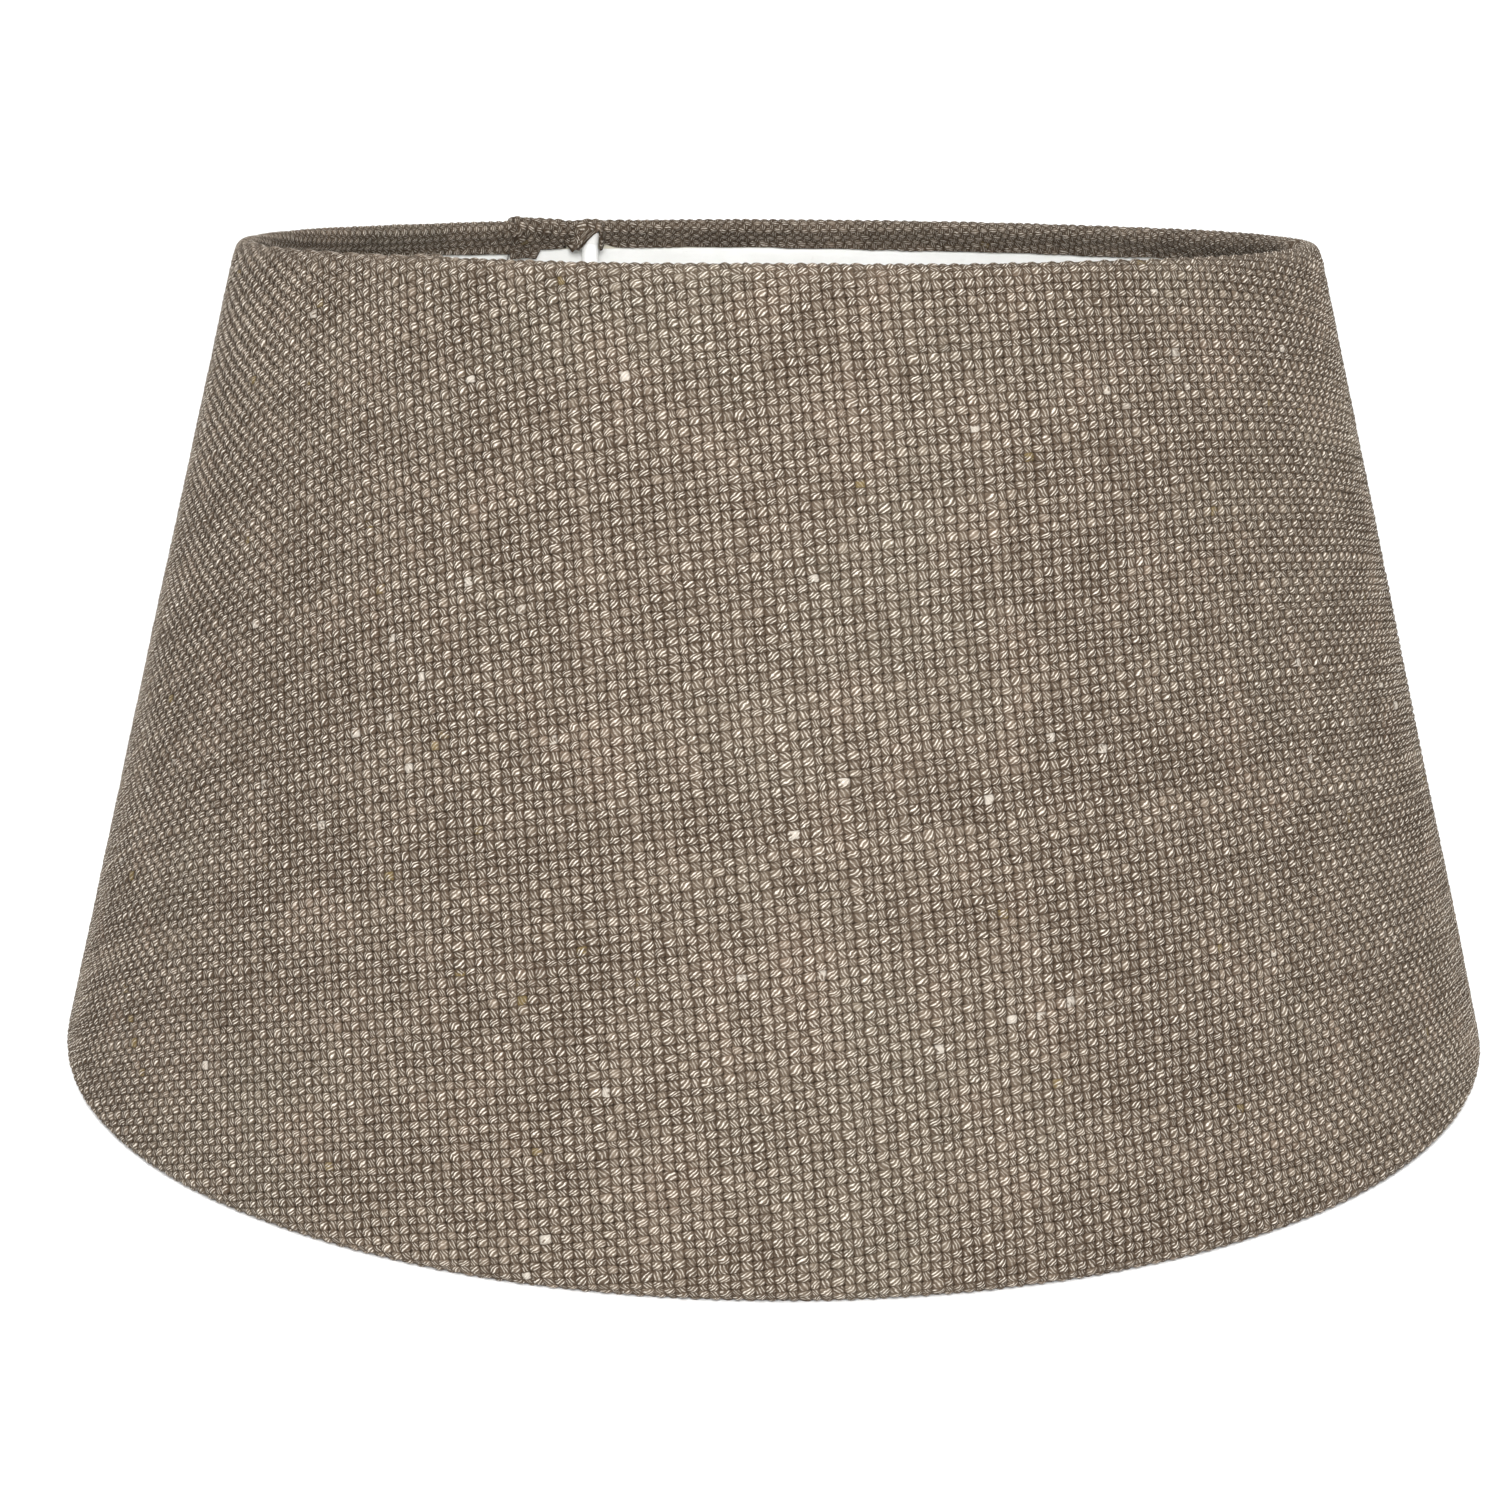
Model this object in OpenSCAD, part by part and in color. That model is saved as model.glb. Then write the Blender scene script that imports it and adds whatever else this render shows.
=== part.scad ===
// Round tapered lamp shade. Woven cloth on a stiff plastic liner is rolled into a cone,
// turned over a wire ring at each end, and carried by three arms on a lamp-holder fitter.
// It stands on its wide end at z = 0, with its axis on Z. Everything is in millimetres.

/* [Shade] */
// Outside diameter over the rolled bottom edge
bottom_d = 300; // [260:1:340]
// Outside diameter over the rolled top edge
top_d = 217; // [190:1:240]
// Height over both rolled edges
shade_h = 163; // [140:1:190]

/* [Cloth and liner] */
// Thickness of the woven cover cloth
cloth_t = 0.9; // [0.6:0.05:1.2]
// Thickness of the stiff liner sheet behind the cloth
liner_t = 0.4; // [0.3:0.05:0.5]
// Length of the turned hem along the wall, from the ring's centre to its raw edge
hem_reach = 5.2; // [5:0.1:9]
// Distance from the ring's centre at which the hem meets the liner
hem_bend = 4; // [3.8:0.1:4.2]
// Width of the lap at the top edge, where the two ends of the cover panel meet
lap_w = 15; // [10:1:20]
// Direction of the lap's free edge round the axis, from +X
seam_angle = 126.3; // [120:0.1:150]
// Gap at the top edge between the two ends of the liner, under the lap
liner_gap = 0.5; // [0.3:0.1:1]

/* [Wire frame] */
// Diameter of the wire in the top and bottom rings
ring_wire_d = 2.8; // [2.5:0.1:3.2]
// Diameter of the wire in the three arms
arm_wire_d = 4; // [3.4:0.1:4.4]
// Direction of the first arm round the axis, from +X
arm_angle = 115.6; // [110:0.1:120]
// Radius of the bend at the foot of each arm, to the wire's centre
arm_bend_r = 6; // [4:0.5:9]
// Drop from the top edge to the upper face of the fitter ring
fitter_drop = 22; // [18:1:35]

/* [Fitter and reducer] */
// Radius of the hole in the fitter ring, for a large lamp holder
fitter_bore_r = 21; // [20:0.1:22]
// Outside radius of the fitter ring
fitter_r = 27; // [26:0.5:30]
// Sheet thickness of the fitter ring
fitter_t = 1.5; // [1:0.1:2]
// Height of the fitter ring's turned-down skirt
skirt_h = 5.5; // [5:0.1:8]
// Radius of the hole in the reducer ring, for a small lamp holder
reducer_bore_r = 14.5; // [14.2:0.1:15]
// Thickness of the reducer ring's flange
reducer_t = 1.5; // [1.2:0.1:2]
// Length of the reducer ring's hole
reducer_bore_h = 4.5; // [3.5:0.1:6]

/* [Hidden] */
$fn = 96;

glue_gap = 0.05;
seat = 0.01;
tape_t = 0.1;
sole_cut = 0.15;
ring_r = ring_wire_d / 2;
arm_r = arm_wire_d / 2;

// Layers are measured from the line between the ring centres, outward from the axis
cloth_in = ring_r + glue_gap;
cloth_out = cloth_in + cloth_t;
liner_out = cloth_in - glue_gap;
liner_in = liner_out - liner_t;
tape_out = liner_in - glue_gap;
hem_face = tape_out - tape_t - glue_gap;

// The lap's own layer, outside the cover and its tape
lap_tape_in = cloth_out + 0.02;
lap_in = lap_tape_in + tape_t + 0.02;
lap_face = hem_face - cloth_t - 0.14;
lap_angle = lap_w / (PI * top_d) * 360;
liner_slit = liner_gap / (PI * top_d) * 360;

// Centres of the two wire rings, and the slope between them
base_r = bottom_d / 2 - cloth_out;
base_z = cloth_out - sole_cut;
head_r = top_d / 2 - cloth_out;
head_z = shade_h - cloth_out;
wall_angle = atan2(base_r - head_r, head_z - base_z);
wall_len = norm([base_r - head_r, head_z - base_z]);

// Arms hang inside the top ring and run in level to the fitter's skirt
arm_inset = arm_r - 0.85;
arm_count = 3;
arm_x = head_r - arm_inset;
fitter_top = shade_h - fitter_drop;
arm_z = fitter_top - skirt_h / 2;
slot_w = arm_wire_d + 1.6;
rest_gap = 0.3;

// Places a section on the bottom ring's centre: x outward through the wall, y up the wall
module at_base() {
    translate([base_r, base_z]) rotate(wall_angle) children();
}

// Places a section on the top ring's centre: x outward through the wall, y down the wall
module at_head() {
    translate([head_r, head_z]) rotate(wall_angle) mirror([0, 1]) children();
}

// Lean of the hem's free part, for a layer that leaves its ring at radius r0
function hem_tilt(r0, face) = atan2(face, hem_bend) + asin((r0 - 0.05) / norm([face, hem_bend]));

// Section of a layer where it turns over a ring of radius r0
module roll_section(r0, t, face) {
    from = 8;
    to = 167 - hem_tilt(r0, face);
    q = 12;
    difference() {
        circle(r0 + t);
        circle(r0);
        polygon([[0, 0], q * [cos(from), sin(from)], [q, q], [-q, q], q * [cos(to), sin(to)]]);
    }
}

// Section of the hem that follows, leaning in and then laid flat against x = face
module hem_section(r0, t, face) {
    tilt = hem_tilt(r0, face);
    way = [-cos(tilt), sin(tilt)];
    polygon([(r0 - 0.05) * way, [face, hem_bend], [face, hem_reach], [face - t, hem_reach],
        [face - t, hem_bend + t * tan(tilt / 2)], (r0 - 0.05 + t) * way]);
}

// Section of a straight layer of the wall, from y0 to y1 above the bottom ring's centre
module wall_layer(x0, x1, y0, y1) {
    at_base() translate([x0 + seat, y0]) square([x1 - x0 - 2 * seat, y1 - y0]);
}

// Turns a section through the given angles, back from the lap's free edge
module lap_sweep(from, to) {
    rotate([0, 0, seam_angle - to]) rotate_extrude(angle = to - from) children();
}

// Repeats its children at the three arms
module at_arms() {
    for (i = [0 : arm_count - 1]) rotate([0, 0, arm_angle + i * 360 / arm_count]) children();
}

module ring_wire(r, z) {
    translate([0, 0, z]) rotate_extrude() translate([r, 0]) circle(ring_r);
}

// The cloth: one panel, with both hems, slit where the arms come through
module cover_fabric() {
    color([0.50, 0.44, 0.38]) difference() {
        union() {
            rotate_extrude() wall_layer(cloth_in, cloth_out, 0, wall_len);
            rotate_extrude() at_base() roll_section(cloth_in, cloth_t, hem_face);
            rotate_extrude() at_base() hem_section(cloth_in, cloth_t, hem_face);
            rotate_extrude() at_head() roll_section(cloth_in, cloth_t, hem_face);
            rotate_extrude() at_head() hem_section(cloth_in, cloth_t, hem_face);
        }
        translate([0, 0, -10]) cylinder(h = 10, r = bottom_d);
        at_arms() rotate([90, 0, 0]) linear_extrude(slot_w, center = true)
            at_head() translate([-8, -0.6]) square([8 + liner_in, hem_reach + 2]);
    }
}

// Folded free end of the cloth panel, glued over its other end and turned in at the top
module seam_lap() {
    color([0.47, 0.41, 0.35]) union() {
        lap_sweep(0, lap_angle) wall_layer(lap_in, lap_in + cloth_t, 1, wall_len);
        lap_sweep(0, lap_angle) at_head() roll_section(lap_in, cloth_t, lap_face);
        lap_sweep(0, lap_angle) at_head() hem_section(lap_in, cloth_t, lap_face);
    }
}

// Adhesive strip under the lap
module seam_tape() {
    color([0.85, 0.84, 0.80]) lap_sweep(0.15 * lap_angle, 0.85 * lap_angle)
        wall_layer(lap_tape_in, lap_tape_in + tape_t, 3, wall_len - 3);
}

// Stiff white sheet behind the cloth, rolled up with its ends almost meeting
module liner_panel() {
    color([0.90, 0.90, 0.88]) lap_sweep(liner_slit / 2, 360 - liner_slit / 2)
        wall_layer(liner_in, liner_out, ring_r + 0.6, wall_len - ring_r - 0.6);
}

module top_ring() {
    color([0.80, 0.80, 0.80]) ring_wire(head_r, head_z);
}

module bottom_ring() {
    color([0.80, 0.80, 0.80]) ring_wire(base_r, base_z);
}

// Adhesive strips that hold the raw edge of each hem on the liner
module top_hem_tape() {
    color([0.85, 0.84, 0.80]) rotate_extrude()
        at_head() translate([tape_out - tape_t, hem_bend]) square([tape_t, hem_reach - hem_bend]);
}

module bottom_hem_tape() {
    color([0.85, 0.84, 0.80]) rotate_extrude()
        at_base() translate([tape_out - tape_t, hem_bend]) square([tape_t, hem_reach - hem_bend]);
}

// One bent wire: down from the top ring, round a bend, and in to the fitter
module bent_wire() {
    translate([arm_x, 0, arm_z + arm_bend_r]) cylinder(h = head_z - 0.3 - arm_z - arm_bend_r, r = arm_r);
    translate([arm_x - arm_bend_r, 0, arm_z + arm_bend_r]) rotate([90, 0, 0]) rotate([0, 0, -90])
        rotate_extrude(angle = 90) translate([arm_bend_r, 0]) circle(arm_r);
    translate([fitter_r + 0.02, 0, arm_z]) rotate([0, 90, 0])
        cylinder(h = arm_x - arm_bend_r - fitter_r - 0.02, r = arm_r);
}

module spider_arm(i) {
    color([0.88, 0.88, 0.87]) difference() {
        rotate([0, 0, arm_angle + i * 360 / arm_count]) bent_wire();
        ring_wire(head_r, head_z);
    }
}

// Pressed ring that the lamp holder is screwed to
module fitter_ring() {
    color([0.88, 0.88, 0.87]) translate([0, 0, fitter_top]) rotate_extrude()
        polygon([[fitter_bore_r, 0], [fitter_bore_r, -fitter_t], [fitter_r - fitter_t, -fitter_t],
            [fitter_r - fitter_t, -skirt_h], [fitter_r, -skirt_h], [fitter_r, -0.6],
            [fitter_r - 0.6, 0]]);
}

// Beads where the arms meet the top ring
module ring_welds() {
    color([0.86, 0.86, 0.85]) difference() {
        at_arms() translate([arm_x, 0, head_z - 3.4])
            cylinder(h = 2.5, r1 = arm_r + 0.15, r2 = arm_r + 0.6);
        at_arms() bent_wire();
        ring_wire(head_r, head_z);
    }
}

// Beads where the arms meet the fitter's skirt
module fitter_welds() {
    bead = arm_r + 0.01;
    color([0.86, 0.86, 0.85]) at_arms() translate([fitter_r + 0.01, 0, arm_z]) rotate([0, 90, 0])
        rotate_extrude() polygon([[bead, 0], [bead + 0.5, 0], [bead + 0.2, 1.4], [bead, 1.4]]);
}

// Loose insert that narrows the fitter's hole; it lifts straight out
module reducer_ring() {
    lip_r = fitter_bore_r - rest_gap;
    flange_r = fitter_r - 1.5;
    wall = 1.8;
    color([0.92, 0.92, 0.90]) translate([0, 0, fitter_top + rest_gap]) rotate_extrude()
        polygon([[reducer_bore_r, reducer_t], [reducer_bore_r, reducer_t - reducer_bore_h],
            [reducer_bore_r + wall, reducer_t - reducer_bore_h], [reducer_bore_r + wall, 0],
            [lip_r - wall, 0], [lip_r - wall, -2.2], [lip_r - 0.4, -2.2], [lip_r, -1.8],
            [lip_r, 0], [flange_r, 0], [flange_r, reducer_t - 0.4], [flange_r - 0.4, reducer_t]]);
}

cover_fabric();
seam_lap();
seam_tape();
liner_panel();
top_ring();
bottom_ring();
top_hem_tape();
bottom_hem_tape();
spider_arm(0);  // spider_arm_1
spider_arm(1);  // spider_arm_2
spider_arm(2);  // spider_arm_3
fitter_ring();
ring_welds();
fitter_welds();
reducer_ring();
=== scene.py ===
import math

import bpy
import numpy as np
from mathutils import Matrix


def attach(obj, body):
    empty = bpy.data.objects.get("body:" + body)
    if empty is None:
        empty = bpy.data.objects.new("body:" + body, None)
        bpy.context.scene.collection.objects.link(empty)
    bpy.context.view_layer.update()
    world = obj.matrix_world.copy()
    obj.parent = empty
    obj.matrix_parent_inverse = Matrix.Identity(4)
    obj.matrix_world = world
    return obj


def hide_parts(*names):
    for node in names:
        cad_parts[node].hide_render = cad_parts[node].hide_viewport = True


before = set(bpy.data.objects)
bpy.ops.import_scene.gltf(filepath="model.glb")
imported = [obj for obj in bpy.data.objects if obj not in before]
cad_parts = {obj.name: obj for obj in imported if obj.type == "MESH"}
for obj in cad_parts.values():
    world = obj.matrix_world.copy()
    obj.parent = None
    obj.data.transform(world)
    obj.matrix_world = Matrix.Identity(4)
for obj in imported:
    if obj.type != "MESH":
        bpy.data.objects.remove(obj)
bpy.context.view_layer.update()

# Every length is in millimetres until a mesh is made.
MM = 0.001

# The cone, and the two wire rings that the cloth turns over
BASE_R, BASE_Z = 147.65, 2.2
HEAD_R, HEAD_Z = 106.15, 160.65
ROLL = 2.35                      # ring's centre to the cloth's outside
CLOTH = 0.9
HEM_IN, HEM_BEND, HEM_REACH = -0.10, 4.0, 5.2
SPARE = 4.0                      # the section is worked out this far past the raw edges
SLOPE = math.atan2(BASE_R - HEAD_R, HEAD_Z - BASE_Z)
WALL = math.hypot(BASE_R - HEAD_R, HEAD_Z - BASE_Z)
SPREAD = math.sin(SLOPE)         # turns an angle round the axis into one in the flat panel
RHO_BASE = (BASE_R + ROLL * math.cos(SLOPE)) / SPREAD

# The weave: column and row pitch, and how far the yarns lean in the flat panel
PITCH_U, PITCH_V = 1.82, 1.45
CRIMP_U, CRIMP_V = 0.05, 0.56      # how far a column or row yarn rises over the other
YARN_U, YARN_V = 0.33, 0.32        # how far each one bulges
PROUD = 0.20                       # row yarns' tops stand this far outside the cloth's mean face

# Angles round the axis from the front, towards +X, in degrees
SEAM = 216.3                     # free edge of the lap
LAP_START = 208.3
ARMS = (205.6, 325.6, 85.6)

FINE = 3000                      # columns round the cloth
ROW_STEP = 0.27                  # distance between its rows
RIM_R = 105                      # radius of the turned top edge, where the slits are
OVER_ARM_R = 101.7               # radius of the cloth where it rides over an arm's end
STEP_C, STEP_R = 8, 4            # the hidden side keeps one column in 8 and one row in 4
LIP_R, LIP_L = 0.5, 5.0            # how far the slits' lips stand apart at the raw edge
SLIT_SHIFT = 0.8                   # the slits lie this many degrees before the arms
FIRST = ARMS[0] - SLIT_SHIFT + 9 * 360 * STEP_C / FINE - 360

rng = np.random.default_rng(27)
TABLES = rng.uniform(-1, 1, (12, 128, 128))


def noise(x, y, k):
    """Smooth random surface number k, from -1 to 1, which changes over a distance of one."""
    table = TABLES[k]
    i, j = np.floor(x).astype(np.int64), np.floor(y).astype(np.int64)
    f, g = x - i, y - j
    f, g = f * f * (3 - 2 * f), g * g * (3 - 2 * g)
    i, j = i & 127, j & 127
    m, n = (i + 1) & 127, (j + 1) & 127
    return ((table[i, j] * (1 - f) + table[m, j] * f) * (1 - g)
            + (table[i, n] * (1 - f) + table[m, n] * f) * g)


def ramp(x, a, b):
    """0 below a, 1 above b, smooth between them."""
    t = np.clip((x - a) / (b - a), 0, 1)
    return t * t * (3 - 2 * t)


# ---------------------------------------------------------------- the cloth's section
def turned_edge():
    """Half of the section near a ring, in the ring's own axes: raw edge, hem, then round to the wall."""
    reach = math.hypot(HEM_IN, HEM_BEND)
    touch = math.atan2(HEM_BEND, HEM_IN) + math.acos(ROLL / reach)
    turn = np.linspace(touch, 2 * math.pi, 300)
    arc = np.stack([ROLL * np.cos(turn), ROLL * np.sin(turn)], 1)
    hem = np.stack([np.full(150, HEM_IN), np.linspace(HEM_REACH + SPARE, HEM_BEND, 150)], 1)
    lean = hem[-1] + np.linspace(0, 1, 80)[1:-1, None] * (arc[0] - hem[-1])
    return np.concatenate([hem, lean, arc])


def full_section():
    """The section from the bottom raw edge to the top one: distance, radius, height, outward normal."""
    edge = turned_edge()
    c, s = math.cos(SLOPE), math.sin(SLOPE)
    low = np.stack([BASE_R + edge[:, 0] * c - edge[:, 1] * s,
                    BASE_Z + edge[:, 0] * s + edge[:, 1] * c], 1)
    high = np.stack([HEAD_R + edge[:, 0] * c + edge[:, 1] * s,
                     HEAD_Z + edge[:, 0] * s - edge[:, 1] * c], 1)[::-1]
    line = np.concatenate([low, high])
    d = np.r_[0, np.cumsum(np.hypot(*np.diff(line, axis=0).T))]
    even = np.arange(0, d[-1], 0.05)
    p = np.stack([np.interp(even, d, line[:, 0]), np.interp(even, d, line[:, 1])], 1)
    k = np.ones(13) / 13
    pad = np.concatenate([p[:1] + (p[:1] - p[1:2]) * np.arange(6, 0, -1)[:, None], p,
                          p[-1:] + (p[-1:] - p[-2:-1]) * np.arange(1, 7)[:, None]])
    p = np.stack([np.convolve(pad[:, 0], k, "valid"), np.convolve(pad[:, 1], k, "valid")], 1)
    t = np.gradient(p, axis=0)
    t /= np.hypot(t[:, 0], t[:, 1])[:, None]
    start = np.interp(BASE_Z, p[: len(p) // 2, 1][np.argmin(p[: len(p) // 2, 1]):],
                      even[: len(p) // 2][np.argmin(p[: len(p) // 2, 1]):])
    return even - start, p[:, 0], p[:, 1], t[:, 1], -t[:, 0]


SEC_S, SEC_R, SEC_Z, SEC_NR, SEC_NZ = full_section()
S_LOW, S_HIGH = SEC_S[0] + SPARE, SEC_S[-1] - SPARE     # raw edges; 0 is where the wall starts


def place(s, phi, off):
    """Points at distance s up the section, at angle phi, off millimetres outside the cloth's own face."""
    r = np.interp(s, SEC_S, SEC_R) + off * np.interp(s, SEC_S, SEC_NR)
    z = np.interp(s, SEC_S, SEC_Z) + off * np.interp(s, SEC_S, SEC_NZ)
    a = np.radians(phi)
    return np.stack([r * np.sin(a), -r * np.cos(a), np.maximum(z, 0.0)], -1)


# ---------------------------------------------------------------- the weave
def yarn_count(s, phi):
    """Column and row count of the weave at a place on the panel; whole numbers lie between yarns."""
    rho = RHO_BASE - s
    a = np.radians(phi) * SPREAD
    x, y = rho * np.sin(a), rho * np.cos(a)
    u = (x * 0.994 - y * 0.106) / PITCH_U + 400
    v = (x * 0.127 + y * 0.992) / PITCH_V + 100
    du = 0.45 * noise(u / 34, v / 26, 0) + 0.15 * noise(u, v / 14, 1) + 0.09 * noise(u / 1.3, v / 1.1, 10)
    dv = 0.45 * noise(u / 30, v / 38, 2) + 0.17 * noise(u / 12, v, 3) + 0.11 * noise(u / 1.1, v / 1.3, 11)
    return u + du, v + dv


def relief(u, v):
    """Height of a plain weave, PROUD at the tops of the row yarns and lower everywhere else."""
    i, j = np.floor(u), np.floor(v)
    f, g = u - i - 0.5, v - j - 0.5
    si, sj = 1 - 2 * (i % 2), 1 - 2 * (j % 2)
    thick_u = 1 + 0.22 * noise(i * 1.7, v / 9, 4)
    thick_v = 1 + 0.22 * noise(u / 8, j * 1.7, 5)
    warp = CRIMP_U * si * np.sin(np.pi * v) + YARN_U * thick_u * np.sqrt(np.maximum(0, 1 - (1.98 * f) ** 2))
    weft = -CRIMP_V * sj * np.sin(np.pi * u) + YARN_V * thick_v * np.sqrt(np.maximum(0, 1 - (1.98 * g) ** 2))
    return np.maximum(np.maximum(warp, weft), 0.10) - CRIMP_V - YARN_V + PROUD


def turned_part(s):
    """0 on the wall, 1 where the cloth has turned over a ring."""
    return ramp(s, WALL - 1.5, WALL + 1.5) + ramp(-s, -1.5, 1.5)


def calm(height, turned):
    """The pulled cloth over the rings is flatter."""
    return height * (1 - 0.5 * turned) - 0.15 * turned


# ---------------------------------------------------------------- meshes
def make_mesh(name, points, faces, weave=None, flat=None):
    """faces is a list of (n, k) index arrays; weave and flat have (n, k, 2) arrays for the same corners."""
    mesh = bpy.data.meshes.new(name)
    sizes = np.concatenate([np.full(len(f), f.shape[1]) for f in faces])
    corners = np.concatenate([f.ravel() for f in faces]).astype(np.int32)
    mesh.vertices.add(len(points))
    mesh.vertices.foreach_set("co", (points * MM).astype(np.float32).ravel())
    mesh.loops.add(len(corners))
    mesh.loops.foreach_set("vertex_index", corners)
    mesh.polygons.add(len(sizes))
    mesh.polygons.foreach_set("loop_start", (np.cumsum(sizes) - sizes).astype(np.int32))
    mesh.polygons.foreach_set("use_smooth", np.ones(len(sizes), bool))
    for layer, data in (("OFBake", flat), ("Weave", weave)):
        if data is not None:
            values = np.concatenate([d.reshape(-1, 2) for d in data]).astype(np.float32)
            mesh.uv_layers.new(name=layer).uv.foreach_set("vector", values.ravel())
    mesh.update(calc_edges=True)
    mesh.validate()
    obj = bpy.data.objects.new(name, mesh)
    bpy.context.collection.objects.link(obj)
    return obj


def stitch(fine, coarse, flip):
    """Triangles between a fine chain of vertices and a coarse one along it."""
    m = (len(fine) - 1) // (len(coarse) - 1)
    out = []
    for c in range(len(coarse) - 1):
        f, a, b = fine[c * m:(c + 1) * m + 1], coarse[c], coarse[c + 1]
        out += [(f[t], f[t + 1], a if t < m // 2 else b) for t in range(m)]
        out.append((f[m // 2], b, a))
    out = np.array(out)
    return out[:, ::-1] if flip else out


def quads(rows, cols, width, flip=False):
    """Quads of a grid whose vertices are numbered row * width + column."""
    r, c = np.meshgrid(np.arange(rows), np.arange(cols), indexing="ij")
    a = (r * width + c).ravel()
    q = np.stack([a, a + 1, a + width + 1, a + width], 1)
    return q[:, ::-1] if flip else q


def mark_turned(obj, values):
    """Keeps on each vertex whether it lies on the wall or on a turned edge."""
    layer = obj.data.attributes.new("turned", "FLOAT", "POINT")
    layer.data.foreach_set("value", values.astype(np.float32))


def build_cover():
    """One closed mesh: the woven side, the plain side behind it, both raw edges and the arms' slits."""
    length = S_HIGH - S_LOW
    rows = int(round(length / ROW_STEP / STEP_R)) * STEP_R
    t = np.linspace(0, 1, rows + 1)
    phi_c = FIRST + np.arange(FINE + 1) * 360 / FINE
    phi = np.broadcast_to(phi_c, (rows + 1, FINE + 1)).copy()
    # the raw edges wander, and the top one hangs lower beside the seam
    arc = np.radians(phi_c) * 106
    drop = 0.35 * noise(arc / 23, arc * 0, 6) + 0.15 * noise(arc / 5, arc * 0, 7)
    drop += 0.9 * np.exp(-np.maximum(phi_c - (SEAM - 360), 0) / 14)
    for arm in ARMS:
        drop -= 3.4 * np.exp(-(((phi_c - arm + 180) % 360 - 180) / 2.4) ** 2)
    drop2 = 0.35 * noise(arc / 19, arc * 0 + 9, 6) + 0.15 * noise(arc / 5, arc * 0 + 9, 7)
    s = S_LOW + length * t[:, None] + ramp(t[:, None], 0.955, 1) * drop - ramp(-t[:, None], -0.045, 0) * drop2
    u, v = yarn_count(s, phi)
    turned = turned_part(s)
    off = calm(relief(u, v), turned)
    x, y = arc / 30, s / 30
    off += 0.10 * noise(x + 50, y + 20, 8) + 0.05 * noise(x * 4 + 50, y * 4 + 20, 9) - 0.05

    # slits: rows above slit_row open round each arm
    s_slit = np.interp(HEAD_Z - 1.3, SEC_Z[SEC_S > WALL + 5][::-1], SEC_S[SEC_S > WALL + 5][::-1])
    slit_row = int(round((s_slit - S_LOW) / length * rows / STEP_R)) * STEP_R
    open_ = np.clip((np.arange(rows + 1) - slit_row) / (rows - slit_row), 0, 1)[:, None]
    shift_r = phi * 0
    twin = {}
    verts = rows + 1
    base = verts * FINE
    extra_pts = []
    for arm in ARMS:
        c = int(round((arm - SLIT_SHIFT - FIRST) / 360 * FINE)) % FINE
        d = (phi_c - phi_c[c] + 180) % 360 - 180
        mm = np.radians(d) * RIM_R
        # the cloth rides over the arm's end
        near = np.exp(-((mm - np.radians(SLIT_SHIFT) * RIM_R) / 3.3) ** 4) * ramp(s, s_slit - 5.0, s_slit - 1.2)
        off += near * np.maximum(np.interp(s, SEC_S, SEC_R) - OVER_ARM_R, 0)
        wide = np.where(mm < 0, -LIP_R, LIP_L) * np.exp(-(mm / 5.0) ** 2)
        wide[c] = -LIP_R
        shift_r += np.degrees(wide / RIM_R) * open_
        twin[c] = base + sum(len(e) for e in extra_pts) - slit_row - 1
        up = np.arange(slit_row + 1, verts)
        extra_pts.append(place(s[up, c], phi[up, c] + np.degrees(LIP_L / RIM_R) * open_[up, 0], off[up, c]))
    phi_moved = phi + shift_r
    pts = place(s[:, :-1], phi_moved[:, :-1], off[:, :-1]).reshape(-1, 3)

    # vertex numbers of each face's corners, with the right-hand lip's own vertices
    r, c = np.meshgrid(np.arange(rows), np.arange(FINE), indexing="ij")
    r, c = r.ravel(), c.ravel()
    cn = (c + 1) % FINE
    face = np.stack([r * FINE + c, r * FINE + cn, (r + 1) * FINE + cn, (r + 1) * FINE + c], 1)
    for col, first in twin.items():
        for corner, rr in ((0, r), (3, r + 1)):
            sel = (c == col) & (rr > slit_row)
            face[sel, corner] = first + rr[sel]
    corner_rc = np.stack([np.stack([r, c], 1), np.stack([r, c + 1], 1),
                          np.stack([r + 1, c + 1], 1), np.stack([r + 1, c], 1)], 1)
    weave = np.stack([u[corner_rc[..., 0], corner_rc[..., 1]], v[corner_rc[..., 0], corner_rc[..., 1]]], -1)
    half = (c >= FINE // 2)[:, None]
    flat = np.stack([0.004 + 0.992 * (corner_rc[..., 1] - half * (FINE // 2)) / (FINE // 2),
                     0.004 + half * 0.476 + 0.466 * corner_rc[..., 0] / rows], -1)

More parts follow.
